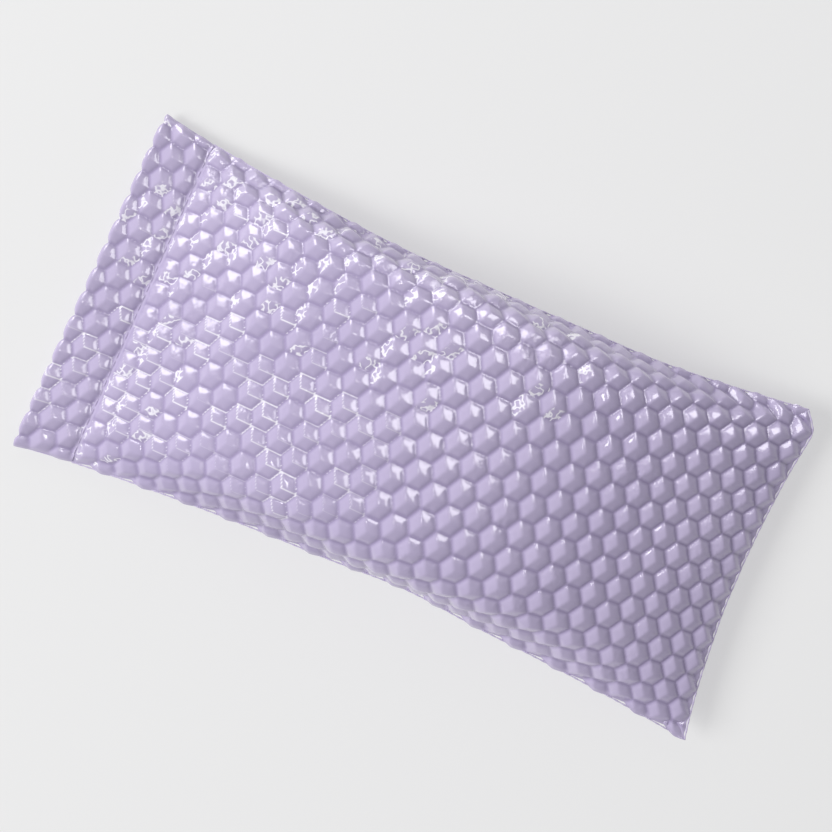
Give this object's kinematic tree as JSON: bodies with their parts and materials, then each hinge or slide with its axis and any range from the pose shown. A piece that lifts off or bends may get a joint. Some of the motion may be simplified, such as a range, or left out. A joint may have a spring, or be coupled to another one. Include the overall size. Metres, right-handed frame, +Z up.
{
  "type": "eye pillow",
  "caption": "Filled eye pillow: glossy lilac film slip cover embossed with rhombus relief, hemmed mouth at one end, and a sewn seed sachet that slides out of it.",
  "frame": {"origin": "centre of the pillow's box, on the surface it rests on", "axes": "+X along the pillow towards its sewn end, +Y across it, +Z up out of the front"},
  "size_m": [0.202, 0.102, 0.034],
  "materials": {
    "embossed_film": "gloss",
    "knit_lining": "matte",
    "sewing_thread": "satin",
    "muslin": "matte",
    "flax_seed": "satin",
    "lavender": "matte"
  },
  "bodies": {
    "cover": {"cover_front_panel": "embossed_film", "cover_back_panel": "embossed_film", "front_lining": "knit_lining", "back_lining": "knit_lining", "left_side_seam": "sewing_thread", "right_side_seam": "sewing_thread", "end_seam": "sewing_thread", "back_hem": "embossed_film", "back_hem_stitching": "sewing_thread"},
    "front_lip": {"front_hem": "embossed_film", "front_hem_stitching": "sewing_thread"},
    "insert": {"sachet_front_panel": "muslin", "sachet_back_panel": "muslin", "sachet_sewn_edge": "muslin", "sachet_closing_stitches": "sewing_thread", "flax_seed_filling": "flax_seed", "lavender_buds": "lavender"}
  },
  "joints": [
    {"name": "front_lip_hinge", "type": "hinge", "parent": "cover", "child": "front_lip", "pos_m": [-0.084, 0, 0.0058], "axis": [0, 1, 0], "range_deg": [0, 50], "stiffness_Nm_per_rad": 0.004},
    {"name": "insert_slide", "type": "slide", "parent": "cover", "child": "insert", "axis": [-1, 0, 0], "range_m": [0, 0.206], "deforming": ["sachet_front_panel", "sachet_back_panel", "sachet_sewn_edge", "sachet_closing_stitches", "flax_seed_filling", "lavender_buds"]}
  ]
}
